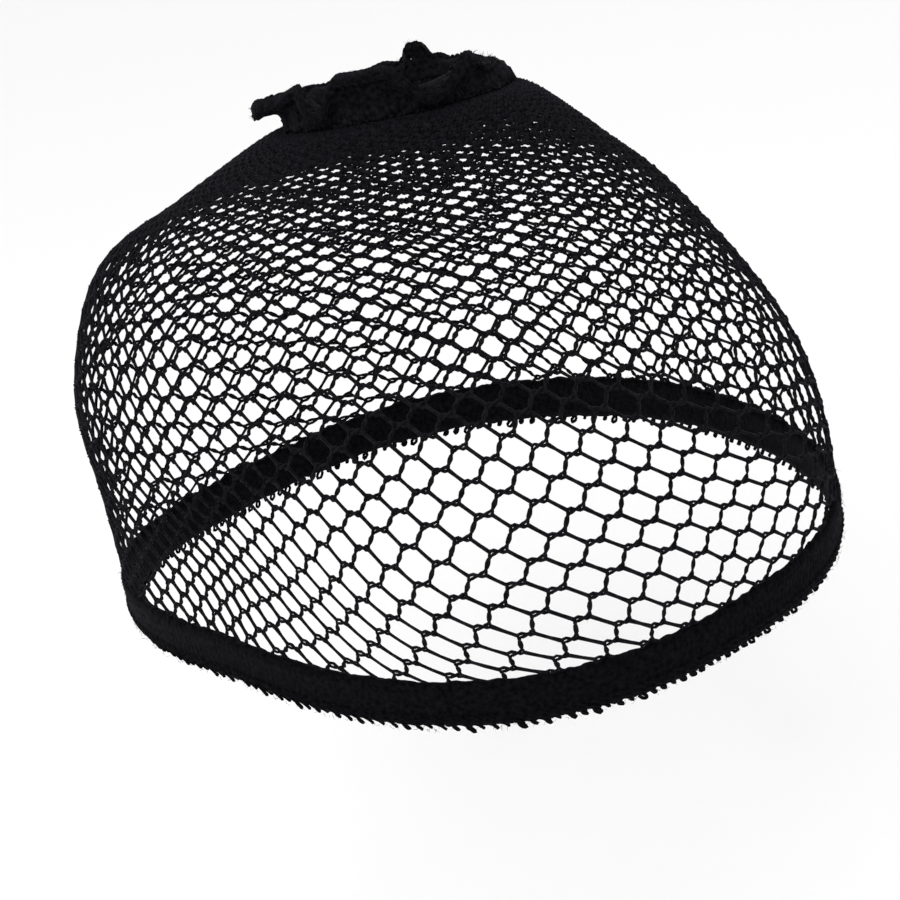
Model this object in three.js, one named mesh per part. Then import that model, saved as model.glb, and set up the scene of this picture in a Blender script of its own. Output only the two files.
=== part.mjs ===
// A stretch fishnet wig cap in its worn form: net crown, rim band, gather tie and top ruffle.
// Millimetres, +Z up through the cap, the front towards -Y, the right-hand side seen from there towards +X.
import * as THREE from "three";

// The opening, measured at the band's lower edge in front, from the origin in its middle.
const halfWidth = 73.5;
const frontLength = 89;
const backLength = 100;
// The power of the opening's oval: 2 is an ellipse, more is squarer at the corners.
const ovalPower = 2.35;
// How far the rim dips at the back, and how quickly it does so from the sides.
const rimDip = 15;
const dipPower = 1.2;

// The gather at the top: its place above the opening, and how far its plane leans back and aside.
const crownHeight = 107;
const gatherRadius = 24;
const gatherBack = 14.5;
const gatherAside = 12.5;
const leanBack = 11;
const leanAside = 6.5;

// The net, its coarse gaps, and the neck that passes through the tie.
const netWall = 1.2;
const strandWidth = 4.6;
const gapColumnPairs = 15;
const gapRows = 4;
const gapMargin = 3.5;
const pleatDepth = 0.7;
const neckHeight = 2.4;

// The band, the tie and the frill.
const bandHeight = 11.5;
const bandThickness = 2.4;
const bandProud = 0.7;
const tieThickness = 1.6;
const frillWidth = 10.5;
const frillThickness = 2.2;
const frillHem = 3;
// The share of the frill's width that bends and thickens; the rest of it is even out to the hem.
const frillBend = 0.6;

// What pieces that touch keep between them.
const clearance = 0.3;

// How finely each piece is faceted round the cap.
const topRings = 5;
const bandStations = 120;
const tieStations = 48;
const tieSidePairs = 3;
const frillStations = 96;
const frillSteps = 5;

// The crown's outline from the band up to the gather, a row for each level.
// spread: share of the way from the gather's circle out to the opening's oval.
// backward: what the back adds to that share, and the front takes off it.
// rise: share of the crown's height. lean: share of the gather's shift and lean.
const crownProfile = [
  { spread: 1.0, backward: 0.0, rise: 0.0, lean: 0.0 },
  { spread: 1.007, backward: 0.0, rise: 0.257, lean: 0.0 },
  { spread: 0.97, backward: 0.083, rise: 0.462, lean: 0.15 },
  { spread: 0.735, backward: 0.189, rise: 0.718, lean: 0.45 },
  { spread: 0.461, backward: 0.129, rise: 0.853, lean: 0.72 },
  { spread: 0.152, backward: 0.024, rise: 0.979, lean: 0.95 },
  { spread: 0.0, backward: 0.0, rise: 1.0, lean: 1.0 },
];
// Where the gaps end and the dense top begins, as a share of that outline's rows.
const gapsEnd = 0.7;
// Where the rim's dip has died out, as such a share.
const dipEnd = 0.3;

// The frill's folds, a row for each turn of its edge, counted from the front towards +X.
// turn: share of a full turn. lean: degrees out from upright at the edge. width: share of the
// frill's width. sway: sideways push of the edge, as a share of the frill's width.
const frillFolds = [
  { turn: 0.0, lean: 52, width: 0.82, sway: 0.1 },
  { turn: 0.05, lean: 36, width: 0.36, sway: 0.0 },
  { turn: 0.11, lean: -8, width: 0.22, sway: 0.0 },
  { turn: 0.165, lean: -24, width: 0.22, sway: 0.0 },
  { turn: 0.23, lean: 34, width: 0.3, sway: 0.05 },
  { turn: 0.31, lean: 84, width: 0.58, sway: 0.0 },
  { turn: 0.34, lean: 66, width: 0.6, sway: -0.1 },
  { turn: 0.356, lean: 8, width: 0.84, sway: -0.1 },
  { turn: 0.369, lean: 8, width: 0.84, sway: -0.1 },
  { turn: 0.39, lean: 64, width: 0.62, sway: -0.1 },
  { turn: 0.49, lean: 88, width: 0.7, sway: 0.1 },
  { turn: 0.57, lean: 62, width: 0.55, sway: -0.05 },
  { turn: 0.66, lean: 92, width: 1.1, sway: 0.0 },
  { turn: 0.71, lean: 62, width: 0.78, sway: 0.1 },
  { turn: 0.75, lean: 38, width: 0.78, sway: 0.0 },
  { turn: 0.79, lean: 112, width: 0.75, sway: 0.05 },
  { turn: 0.835, lean: 38, width: 0.92, sway: -0.1 },
  { turn: 0.88, lean: 44, width: 0.96, sway: 0.1 },
  { turn: 0.94, lean: 112, width: 0.85, sway: 0.0 },
];

const fullTurn = 2 * Math.PI;

// The gather's plane: its middle, how steeply it leans, and its axis.
const gatherCentre = new THREE.Vector3(gatherAside, gatherBack, crownHeight);
const slopeBack = Math.tan(THREE.MathUtils.degToRad(leanBack));
const slopeAside = Math.tan(THREE.MathUtils.degToRad(leanAside));
const gatherAxis = new THREE.Vector3(slopeAside, slopeBack, 1).normalize();

// The opening's oval at an angle from the front, turning towards +X.
function ovalPoint(angle) {
  const side = Math.sin(angle);
  const front = Math.cos(angle);
  const power = Math.abs(side) ** ovalPower + Math.abs(front) ** ovalPower;
  const reach = power ** (-1 / ovalPower);
  const length = front > 0 ? frontLength : backLength;
  return new THREE.Vector2(halfWidth * reach * side, -length * reach * front);
}

// A smooth curve through one column of a table, read at a share of its rows.
function columnAt(table, column, share) {
  const curve = new THREE.SplineCurve(table.map((row, i) => new THREE.Vector2(i, row[column])));
  return curve.getPoint(THREE.MathUtils.clamp(share, 0, 1)).y;
}

// The share of the profile at which the crown's side has a given height.
function shareAtHeight(height) {
  let low = 0;
  let high = 0.5;
  for (let i = 0; i < 40; i++) {
    const middle = (low + high) / 2;
    if (columnAt(crownProfile, "rise", middle) * crownHeight < height) low = middle;
    else high = middle;
  }
  return (low + high) / 2;
}

// How far the rim's dip lowers the crown: in full at the band, and less above it.
const dipStart = shareAtHeight(bandHeight + clearance);
function dipAt(angle, share) {
  const backward = Math.max(0, -Math.cos(angle));
  const fade = 1 - THREE.MathUtils.smoothstep(share, dipStart, dipEnd);
  return rimDip * backward ** dipPower * fade;
}

// A point of the crown's outer face: an angle from the front, and a share of the profile.
function crownPoint(angle, share) {
  const backward = columnAt(crownProfile, "backward", share) * -Math.cos(angle);
  const spread = columnAt(crownProfile, "spread", share) + backward;
  const rise = columnAt(crownProfile, "rise", share);
  const lean = columnAt(crownProfile, "lean", share);
  const oval = ovalPoint(angle);
  const acrossX = THREE.MathUtils.lerp(gatherRadius * Math.sin(angle), oval.x, spread);
  const acrossY = THREE.MathUtils.lerp(-gatherRadius * Math.cos(angle), oval.y, spread);
  const drop = lean * (acrossX * slopeAside + acrossY * slopeBack);
  return new THREE.Vector3(
    acrossX + lean * gatherAside,
    acrossY + lean * gatherBack,
    rise * crownHeight - drop - dipAt(angle, share),
  );
}

// The outward normal of the crown there, from two short steps along its face.
function crownNormal(angle, share) {
  const step = 1e-3;
  const low = Math.max(share - step, 0);
  const high = Math.min(share + step, 1);
  const around = crownPoint(angle + step, share).sub(crownPoint(angle - step, share));
  const upward = crownPoint(angle, high).sub(crownPoint(angle, low));
  return around.cross(upward).normalize();
}

// A sheet with thickness: every vertex is a pair, one on the outer and one on the inner face.
class ClothShell {
  constructor() {
    this.positions = [];
    this.indices = [];
  }

  // Adds a pair and returns its number.
  pair(outer, inner) {
    this.positions.push(outer.x, outer.y, outer.z, inner.x, inner.y, inner.z);
    return this.positions.length / 6 - 1;
  }

  // Adds a pair on a face point, with the wall laid inwards along the normal.
  wallPair(point, normal, wall) {
    return this.pair(point.clone(), point.clone().addScaledVector(normal, -wall));
  }

  // Covers a polygon of pairs, given anticlockwise from outside, on both faces.
  face(pairs) {
    for (let i = 1; i + 1 < pairs.length; i++) {
      const [a, b, c] = [2 * pairs[0], 2 * pairs[i], 2 * pairs[i + 1]];
      this.indices.push(a, b, c, a + 1, c + 1, b + 1);
    }
  }

  // Closes the cut edge from one pair to the next, with the cloth on the left seen from outside.
  edge(from, to) {
    const [a, b] = [2 * from, 2 * to];
    this.indices.push(b, a, a + 1, b, a + 1, b + 1);
  }

  geometry() {
    const geometry = new THREE.BufferGeometry();
    geometry.setAttribute("position", new THREE.Float32BufferAttribute(this.positions, 3));
    geometry.setIndex(this.indices);
    geometry.computeVertexNormals();
    return geometry;
  }
}

// Joins two closed rings of pairs, the first below the second.
function joinRings(shell, lower, upper) {
  for (let i = 0; i < lower.length; i++) {
    const next = (i + 1) % lower.length;
    shell.face([lower[i], lower[next], upper[next], upper[i]]);
  }
}

// Closes a ring's free edge, below the cloth or above it.
function closeRing(shell, ring, below) {
  for (let i = 0; i < ring.length; i++) {
    const next = (i + 1) % ring.length;
    if (below) shell.edge(ring[i], ring[next]);
    else shell.edge(ring[next], ring[i]);
  }
}

// The crown: rows of six-sided gaps in staggered columns, then the dense pleated top and neck.
function netCrown() {
  const shell = new ClothShell();
  const gapColumns = 2 * gapColumnPairs;
  const stations = 2 * gapColumns;
  const columnAngle = fullTurn / gapColumns;
  const column = (station) => Math.floor(station / 2);
  const wrap = (station) => (station + stations) % stations;
  const angleOf = (station) => (column(station) + (station % 2 ? 1 / 3 : -1 / 3)) * columnAngle;

  // Half a gap's height is one level; odd columns start with a half gap, one level lower.
  const hemShare = shareAtHeight(bandHeight + clearance);
  const lowestShare = shareAtHeight(bandHeight + clearance + gapMargin);
  const levels = 2 * gapRows;
  const shareOf = (level) => THREE.MathUtils.lerp(lowestShare, gapsEnd, level / levels);
  const place = (angle, share) => {
    return shell.wallPair(crownPoint(angle, share), crownNormal(angle, share), netWall);
  };
  const corners = new Map();
  for (let station = 0; station < stations; station++) {
    for (let level = column(station) % 2; level <= levels; level += 2) {
      corners.set(station + ":" + level, place(angleOf(station), shareOf(level)));
    }
  }
  const corner = (station, level) => corners.get(wrap(station) + ":" + level);
  const hem = Array.from({ length: stations }, (_, station) => place(angleOf(station), hemShare));

  // One gap: the cloth between its six corners and the hole inside them. A corner is given by
  // its place across the column, in thirds of a column from its middle, and by its share.
  function gap(columnIndex, middle, lowShare, lowPairs) {
    const left = 2 * columnIndex;
    const around = [
      { across: -2, share: shareOf(middle), pair: corner(left - 1, middle) },
      { across: -1, share: lowShare, pair: lowPairs[0] },
      { across: 1, share: lowShare, pair: lowPairs[1] },
      { across: 2, share: shareOf(middle), pair: corner(left + 2, middle) },
      { across: 1, share: shareOf(middle + 1), pair: corner(left + 1, middle + 1) },
      { across: -1, share: shareOf(middle + 1), pair: corner(left, middle + 1) },
    ];
    const angle = columnIndex * columnAngle;
    const middleShare = (lowShare + shareOf(middle + 1)) / 2;
    const centre = crownPoint(angle, middleShare);
    const inset = strandWidth / 2 / Math.sin(Math.PI / 3);
    const rim = around.map(({ across, share }) => {
      const away = (across / 3) * columnAngle;
      const pull = inset / crownPoint(angle + away, share).distanceTo(centre);
      return place(angle + away * (1 - pull), THREE.MathUtils.lerp(share, middleShare, pull));
    });
    for (let i = 0; i < 6; i++) {
      const next = (i + 1) % 6;
      shell.face([around[i].pair, around[next].pair, rim[next], rim[i]]);
      shell.edge(rim[next], rim[i]);
    }
  }
  for (let columnIndex = 0; columnIndex < gapColumns; columnIndex++) {
    const left = 2 * columnIndex;
    if (columnIndex % 2) gap(columnIndex, 0, hemShare, [hem[left], hem[left + 1]]);
    for (let middle = 1 + (columnIndex % 2); middle < levels; middle += 2) {
      const lowPairs = [corner(left, middle - 1), corner(left + 1, middle - 1)];
      gap(columnIndex, middle, shareOf(middle - 1), lowPairs);
    }
  }

  // The hem below the even columns, which stands on the band.
  for (let left = 0; left < stations; left += 4) {
    const before = wrap(left - 1);
    const after = wrap(left + 2);
    shell.face([hem[before], hem[left], corner(left, 0)]);
    shell.face([hem[left], hem[left + 1], corner(left + 1, 0), corner(left, 0)]);
    shell.face([hem[left + 1], hem[after], corner(left + 1, 0)]);
  }
  closeRing(shell, hem, true);

  // The dense top: rings of pleats that die out at the gather, then the neck through the tie.
  let below = hem.map((_, station) => corner(station, levels - (column(station) % 2)));
  for (let i = 1; i <= topRings; i++) {
    const share = THREE.MathUtils.lerp(gapsEnd, 1, i / topRings);
    const ring = hem.map((_, station) => {
      const side = column(station) % 2 ? 1 : -1;
      const depth = side * pleatDepth * Math.sin((Math.PI * i) / topRings);
      const normal = crownNormal(angleOf(station), share);
      const point = crownPoint(angleOf(station), share).addScaledVector(normal, depth / 2);
      return shell.wallPair(point, normal, netWall);
    });
    joinRings(shell, below, ring);
    below = ring;
  }
  const neck = hem.map((_, station) => {
    const outer = crownPoint(angleOf(station), 1).addScaledVector(gatherAxis, neckHeight);
    const inward = outer.clone().sub(gatherCentre);
    inward.addScaledVector(gatherAxis, -inward.dot(gatherAxis)).normalize();
    return shell.wallPair(outer, inward, netWall);
  });
  joinRings(shell, below, neck);
  closeRing(shell, neck, false);
  return shell.geometry();
}

// The band: a closed strap that follows the opening, thinned towards its two edges.
function rimBand() {
  const shell = new ClothShell();
  // height and thickness are shares of the band's own.
  const section = [
    { height: 0.0, thickness: 0.45 },
    { height: 0.14, thickness: 0.95 },
    { height: 0.5, thickness: 0.8 },
    { height: 0.86, thickness: 1.0 },
    { height: 1.0, thickness: 0.6 },
  ];
  let below = null;
  for (const { height, thickness } of section) {
    const share = shareAtHeight(height * bandHeight);
    const ring = Array.from({ length: bandStations }, (_, i) => {
      const angle = (i / bandStations) * fullTurn;
      const normal = crownNormal(angle, share);
      const middle = crownPoint(angle, share);
      middle.addScaledVector(normal, bandProud - bandThickness / 2);
      middle.setZ(height * bandHeight - dipAt(angle, share));
      const half = (thickness * bandThickness) / 2;
      normal.setZ(0).normalize();
      return shell.pair(
        middle.clone().addScaledVector(normal, half),
        middle.clone().addScaledVector(normal, -half),
      );
    });
    if (below) joinRings(shell, below, ring);
    else closeRing(shell, ring, true);
    below = ring;
  }
  closeRing(shell, below, false);
  return shell.geometry();
}

// A point of the gather's circle, moved out from it and up along its axis.
function gatherPoint(angle, outward, upward) {
  const point = crownPoint(angle, 1);
  const away = point.clone().sub(gatherCentre).normalize();
  return point.addScaledVector(away, outward).addScaledVector(gatherAxis, upward);
}

// The tie: a ring of elastic round the neck.
function gatherTie() {
  const shell = new ClothShell();
  const radius = tieThickness / 2;
  const wireOut = radius + clearance;
  const wireUp = neckHeight - radius;
  const rings = Array.from({ length: tieSidePairs }, (_, side) => {
    const turn = ((side + 0.5) / tieSidePairs) * Math.PI;
    const out = radius * Math.sin(turn);
    const up = wireUp - radius * Math.cos(turn);
    return Array.from({ length: tieStations }, (_, i) => {
      const angle = (i / tieStations) * fullTurn;
      return shell.pair(gatherPoint(angle, wireOut + out, up), gatherPoint(angle, wireOut - out, up));
    });
  });
  closeRing(shell, rings[0], true);
  for (let i = 1; i < rings.length; i++) joinRings(shell, rings[i - 1], rings[i]);
  closeRing(shell, rings[rings.length - 1], false);
  return shell.geometry();
}

// One column of the fold table at a share of a full turn, eased from row to row.
function foldAt(column, turn) {
  const rows = frillFolds;
  for (let i = 0; i < rows.length; i++) {
    const next = rows[(i + 1) % rows.length];
    const start = rows[i].turn;
    const end = i + 1 < rows.length ? next.turn : 1 + rows[0].turn;
    if (turn >= start && turn < end) {
      const eased = (1 - Math.cos((Math.PI * (turn - start)) / (end - start))) / 2;
      return THREE.MathUtils.lerp(rows[i][column], next[column], eased);
    }
  }
  return rows[0][column];
}

// The frill: a strip that stands on the neck and bends outwards by each fold's own lean.
function topRuffle() {
  const shell = new ClothShell();
  const rings = Array.from({ length: frillSteps + 1 }, () => []);
  for (let i = 0; i < frillStations; i++) {
    const turn = i / frillStations;
    const angle = turn * fullTurn;
    const lean = THREE.MathUtils.degToRad(foldAt("lean", turn));
    const length = frillWidth * foldAt("width", turn);
    const sway = frillWidth * foldAt("sway", turn);
    const away = gatherPoint(angle, 1, 0).sub(gatherPoint(angle, 0, 0));
    const along = gatherAxis.clone().cross(away);
    let out = -netWall / 2;
    let up = neckHeight + clearance;
    for (let step = 0; step <= frillSteps; step++) {
      const share = step / frillSteps;
      const bend = lean * Math.min(1, share / frillBend);
      if (step > 0) {
        out += (Math.sin(bend) * length) / frillSteps;
        up += (Math.cos(bend) * length) / frillSteps;
      }
      const middle = gatherPoint(angle, out, up).addScaledVector(along, sway * share * share);
      const body = THREE.MathUtils.lerp(netWall, frillThickness, Math.min(1, share / frillBend));
      const half = (step === frillSteps ? frillHem : body) / 2;
      const outer = away.clone().multiplyScalar(Math.cos(bend));
      outer.addScaledVector(gatherAxis, -Math.sin(bend));
      const faces = [half, -half].map((depth) => middle.clone().addScaledVector(outer, depth));
      rings[step].push(shell.pair(...faces));
    }
  }
  closeRing(shell, rings[0], true);
  for (let step = 1; step <= frillSteps; step++) joinRings(shell, rings[step - 1], rings[step]);
  closeRing(shell, rings[frillSteps], false);
  return shell.geometry();
}

// Near-black yarn: the net is smooth, the band and the frill are fuzzier.
const netYarn = new THREE.MeshStandardMaterial({ color: 0x111114, roughness: 0.75, metalness: 0 });
const bandYarn = new THREE.MeshStandardMaterial({ color: 0x0d0d10, roughness: 0.92, metalness: 0 });
const frillYarn = new THREE.MeshStandardMaterial({ color: 0x0f0f12, roughness: 0.95, metalness: 0 });
const tieElastic = new THREE.MeshStandardMaterial({ color: 0x0b0b0d, roughness: 0.8, metalness: 0 });

function piece(name, geometry, material) {
  const mesh = new THREE.Mesh(geometry, material);
  mesh.name = name;
  return mesh;
}

const wigCap = new THREE.Group();
wigCap.add(piece("net_crown", netCrown(), netYarn));
wigCap.add(piece("rim_band", rimBand(), bandYarn));
wigCap.add(piece("gather_tie", gatherTie(), tieElastic));
wigCap.add(piece("top_ruffle", topRuffle(), frillYarn));

export default wigCap;
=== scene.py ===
"""A stretch fishnet wig cap in its worn form: open net, fuzzy rim band, gather tie and wavy frill."""
import math

import bpy
import numpy as np
from mathutils import Matrix, Vector


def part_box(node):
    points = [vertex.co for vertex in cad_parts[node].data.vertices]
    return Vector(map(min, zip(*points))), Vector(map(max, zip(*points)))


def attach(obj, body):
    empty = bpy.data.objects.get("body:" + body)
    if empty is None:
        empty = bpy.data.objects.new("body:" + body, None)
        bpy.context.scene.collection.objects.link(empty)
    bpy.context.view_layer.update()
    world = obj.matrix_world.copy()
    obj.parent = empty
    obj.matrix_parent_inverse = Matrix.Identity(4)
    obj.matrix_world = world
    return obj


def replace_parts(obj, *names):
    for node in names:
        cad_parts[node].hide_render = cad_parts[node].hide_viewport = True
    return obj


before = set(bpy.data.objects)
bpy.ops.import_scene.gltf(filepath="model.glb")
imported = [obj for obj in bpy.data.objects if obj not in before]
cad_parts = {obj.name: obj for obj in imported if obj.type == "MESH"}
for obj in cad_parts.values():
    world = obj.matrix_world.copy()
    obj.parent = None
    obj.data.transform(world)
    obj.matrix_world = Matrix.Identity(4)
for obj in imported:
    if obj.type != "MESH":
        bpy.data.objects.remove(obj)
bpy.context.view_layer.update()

# The crown's form, in metres and degrees, as the solids have it.
HALF_WIDTH = 0.0735
FRONT_LENGTH = 0.089
BACK_LENGTH = 0.1
OVAL_POWER = 2.35
RIM_DIP = 0.015
DIP_POWER = 1.2
DIP_END = 0.3
CROWN_HEIGHT = 0.107
GATHER_RADIUS = 0.024
GATHER_BACK = 0.0145
GATHER_ASIDE = 0.0125
LEAN_BACK = 11
LEAN_ASIDE = 6.5
NECK_HEIGHT = 0.0024
NET_WALL = 0.0012
BAND_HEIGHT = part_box("rim_band")[1].z
BAND_THICKNESS = 0.0024
BAND_PROUD = 0.0007
TIE_THICKNESS = 0.0016
FRILL_WIDTH = 0.0105
FRILL_THICKNESS = 0.0022
FRILL_BEND = 0.6
CLEARANCE = 0.0003

# spread, backward, rise and lean of the crown's outline at each level, from the band to the gather.
CROWN_PROFILE = {
    "spread": (1.0, 1.007, 0.97, 0.735, 0.461, 0.152, 0.0),
    "backward": (0.0, 0.0, 0.083, 0.189, 0.129, 0.024, 0.0),
    "rise": (0.0, 0.257, 0.462, 0.718, 0.853, 0.979, 1.0),
    "lean": (0.0, 0.0, 0.15, 0.45, 0.72, 0.95, 1.0),
}
TOP_LEVEL = 6
# How finely a height is turned into a level: halvings of a range, and readings up the band.
LEVEL_HALVINGS = 40
BAND_READINGS = 24

# The knit: stitch columns round the cap, and stitch rows from inside the band up to the neck.
KNIT_COLUMNS = 45
FIRST_ROW = -3.5
# How far a cell's side corner lies from its middle, in columns: a third is a regular cell.
CORNER_ASIDE = 0.38
DENSE_ROW = 22
LAST_ROW = 38
# Degrees from the front that the columns lie at, at five stitch rows.
COLUMN_TURNS = (
    # column, row -3, row 0, row 5, row 12, row 20
    (-15, -105, -107, -115, -130, -151),
    (-10, -79, -80, -89, -101, -108),
    (-5, -34, -48, -54, -60, -61),
    (0, 2, -2, -11, -12, -17),
    (5, 50, 49, 44, 43, 37),
    (10, 82, 82, 84, 84, 76),
    (15, 108, 109, 114, 117, 110),
    (20, 148, 149, 151, 151, 143),
    (25, 215, 213, 204, 190, 176),
)
TURN_ROWS = (-3, 0, 5, 12, 20)
# The crown's level that each stitch row lies at, at five places round the cap.
ROW_LEVELS = (
    # row, back, side, corner, front, left
    (-4, 0.24, 0.24, 0.24, 0.24, 0.24),
    (-3, 0.36, 0.45, 0.32, 0.34, 0.34),
    (-1, 0.66, 0.87, 0.64, 0.71, 0.68),
    (1, 1.02, 1.28, 1.13, 1.28, 1.15),
    (3, 1.42, 1.74, 1.78, 1.86, 1.69),
    (5, 1.86, 2.13, 2.22, 2.28, 2.12),
    (8, 2.42, 2.60, 2.71, 2.73, 2.56),
    (12, 3.16, 3.30, 3.34, 3.28, 3.07),
    (15, 3.75, 3.83, 3.81, 3.73, 3.56),
    (18, 4.12, 4.19, 4.14, 4.10, 4.02),
    (22, 4.48, 4.48, 4.48, 4.48, 4.48),
    (29, 5.15, 5.15, 5.15, 5.15, 5.15),
    (36, 6.0, 6.0, 6.0, 6.0, 6.0),
    (38, 6.9, 6.9, 6.9, 6.9, 6.9),
)
# Where those places are: degrees from the front, and the column of the table that holds there.
LEVEL_PLACES = ((-120, 1), (-86, 2), (-58, 3), (-28, 4), (25, 5), (110, 5), (180, 1))

# The yarns of the net.
PLY_RADIUS = 0.00034
PLY_SWING = 0.00027
PLY_LIFT = 0.00015
FLOAT_RADIUS = 0.00042
FLOAT_PLACES = (0, 0.14, 0.5, 0.86, 1)
FLOAT_FLARE = 0.3
# Random wander of a rib in metres, and of a ply's and a float's thickness as shares.
YARN_WANDER = 0.00006
PLY_UNEVEN = 0.1
FLOAT_UNEVEN = 0.06
NET_DEPTH = 0.00055
GORES = 5
# The rings and the half twists of a rib's leg and of its knot, in the open net and in the dense.
OPEN_RIB = ((6, 2), (4, 1))
DENSE_RIB = ((3, 1), (2, 1))
# The yarn thickens where the columns lie closer than this, by a power of their spacing and within limits.
SLACK_COLUMN = 0.0085
SLACK_SWELL = 0.6
SLACK_LIMITS = (1, 1.65)
# At a knot the plies swing wider and swell, by these shares, and less so in the rows near the gather.
KNOT_SWING = 0.8
KNOT_SWELL = 0.2
KNOTS_SHRINK_FROM = 11
KNOTS_SHRINK_OVER = 20
SMALLEST_KNOT = 0.35
# How steeply a knot ends along a leg, and how far a rib rounds its corners.
KNOT_END = 5
CORNER_ROUNDING = 0.5

# The band's section, as the solids have it: share of its height, and share of its thickness.
BAND_SECTION = ((0.0, 0.45), (0.14, 0.95), (0.5, 0.8), (0.86, 1.0), (1.0, 0.6))
# Its stations round and rows up, its stitches round, and how far its lowest edge stays up.
BAND_STATIONS = 1100
BAND_ROWS = 15
BAND_STITCHES = 366
BAND_HEM_RISE = 0.0007
# The height and the lumps' size of the band's relief, of its edges' wave and of the drift of its stitches.
BAND_RELIEF = 0.00013
RELIEF_LUMP = 0.0016
BAND_WAVE = 0.00025
WAVE_LUMP = 0.004
STITCH_LUMP = 0.006
# How much of the relief is stitches, how far they drift in radians, and where its edges begin.
STITCH_SHARE = 0.4
STITCH_DRIFT = 2
BAND_EDGE_FROM = 0.6

# The picot loops at the band's lower edge.
PICOT_COUNT = 186
PICOT_YARN = 0.0004
PICOT_SPREAD = 0.0125
# How far a picot slants for each metre that it hangs, in radians round the band.
PICOT_SLANT = 7
# Each row's height, drop and outward place, in metres.
PICOT_ROWS = ((0.0011, 0.0018, 0.0), (0.0021, 0.0013, 0.0006), (0.0034, 0.001, 0.0009))
# The crown's level whose face tells the picots which way is out.
PICOT_LEVEL = 0.1

# How uneven rows of loops are: in slow beats, whose lengths are in loops, and at random.
LOOP_VARIES = 0.35
LOOP_BEATS = (7.3, 2.9)
LOOP_UNEVEN = 0.06
LOOP_RINGS = 12
# Where the long beat starts, how far a loop stands off and lags, and how much its yarn swells.
LOOP_START = 2
LOOP_STAND = 0.8
LOOP_LAG = 0.8
LOOP_SWELL = 0.1

# The tie: its twisted plies, and their offset and radius as shares of the tie's radius.
TIE_PLIES = 3
TIE_TWISTS = 44
TIE_STATIONS = 528
TIE_OFFSET = 0.48
TIE_PLY = 0.52

# The frill: its grid round and across, its hem's thickness, the solids' steps across it, and its relief.
FRILL_STATIONS = 660
FRILL_ROWS = 25
FRILL_HEM = 0.003
FRILL_STEPS = 5
FRILL_RIBS = 165
FRILL_RELIEF = 0.00012
FRILL_LUMP = 0.012
FRILL_DRIFT = 0.0004
DRIFT_LUMP = 0.02
# The frill's soft foot: how far its outer face lies out from the neck and hangs down, and its waves.
FOOT_OUT = 0.0029
FOOT_DROP = 0.0021
FOOT_WAVE = 0.25
FOOT_LUMP = 0.025
# Eyelets: how many stations and rows apart they lie, their size in both, and the share that is open.
EYELET_COLUMNS = 10
EYELET_ROWS = 5
EYELET_WIDTH = 3
EYELET_HEIGHT = 2
EYELETS_OPEN = 0.6
# Where round the frill they show, in turns.
EYELET_TURNS = (0.0, 0.36, 0.6, 0.73)
EYELETS_REACH = 0.04
# The looped hem: its rows' share of the frill's width and outward place, and its loops.
HEM_ROWS = ((1.0, 0.0004), (0.94, 0.0011), (0.94, -0.0011))
HEM_LOOPS = 100
HEM_SPREAD = 0.021
HEM_DROP = 0.001
HEM_YARN = 0.0005
HEM_SINK = 0.0002
# How far back the hem's direction is read, as a share of the frill's width.
HEM_BACK = 0.1

# The frill's folds, as the solids have them. Widths and sways are shares of the frill's width.
FOLD_COLUMNS = ("turn", "lean", "width", "sway")
FRILL_FOLDS = (
    # turn, lean in degrees, width, sway
    (0.0, 52, 0.82, 0.1),
    (0.05, 36, 0.36, 0.0),
    (0.11, -8, 0.22, 0.0),
    (0.165, -24, 0.22, 0.0),
    (0.23, 34, 0.3, 0.05),
    (0.31, 84, 0.58, 0.0),
    (0.34, 66, 0.6, -0.1),
    (0.356, 8, 0.84, -0.1),
    (0.369, 8, 0.84, -0.1),
    (0.39, 64, 0.62, -0.1),
    (0.49, 88, 0.7, 0.1),
    (0.57, 62, 0.55, -0.05),
    (0.66, 92, 1.1, 0.0),
    (0.71, 62, 0.78, 0.1),
    (0.75, 38, 0.78, 0.0),
    (0.79, 112, 0.75, 0.05),
    (0.835, 38, 0.92, -0.1),
    (0.88, 44, 0.96, 0.1),
    (0.94, 112, 0.85, 0.0),
)

# The pleats over the tie, and how far out from the gather's circle and how far up they pass.
PLEATS = 112
PLEAT_RADIUS = 0.0009
PLEAT_LEVELS = (5.55, 5.75)
PLEAT_PATH = ((0.0025, 0.0007), (0.0022, 0.0018), (0.0014, 0.003), (0.0004, 0.0043))
# The random wander of pleats: round the gather in pleats, outward and upward in metres, and in thickness.
PLEAT_TURN = 0.25
PLEAT_WANDER = 0.00025
PLEAT_UNEVEN = 0.2

# Loose fibres: how many, and the longest in metres.
BAND_FIBRES = 2600
BAND_FIBRE_LENGTH = 0.0011
FRILL_FIBRES = 1700
FRILL_FIBRE_LENGTH = 0.0012
NET_FIBRES = 1400
NET_FIBRE_LENGTH = 0.001
FIBRE_RADIUS = 0.00004
FIBRE_TAPER = (1, 0.8, 0.4)
# The least and most of a fibre's length and sideways curl, as shares, and how much it bows.
FIBRE_REACH = (0.4, 1)
FIBRE_CURL = (0.3, 1.6)
FIBRE_BOW = 0.35
# How fibres crowd towards the edges, as the two powers of a beta draw, and how far out they root.
BAND_CROWDING = (0.6, 0.7)
FRILL_CROWDING = (1.2, 0.6)
BAND_ROOT = 0.42
FRILL_ROOT = 0.38
# The band's fibres tilt to its edges, and are turned out as the crown is at a low level.
BAND_TILT = 0.9
BAND_FIBRE_LEVEL = 0.2
FRILL_FIBRE_ROWS = np.linspace(0.2, 1, 9)
NET_FIBRE_ROWS = (-2, DENSE_ROW + 4)

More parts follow.
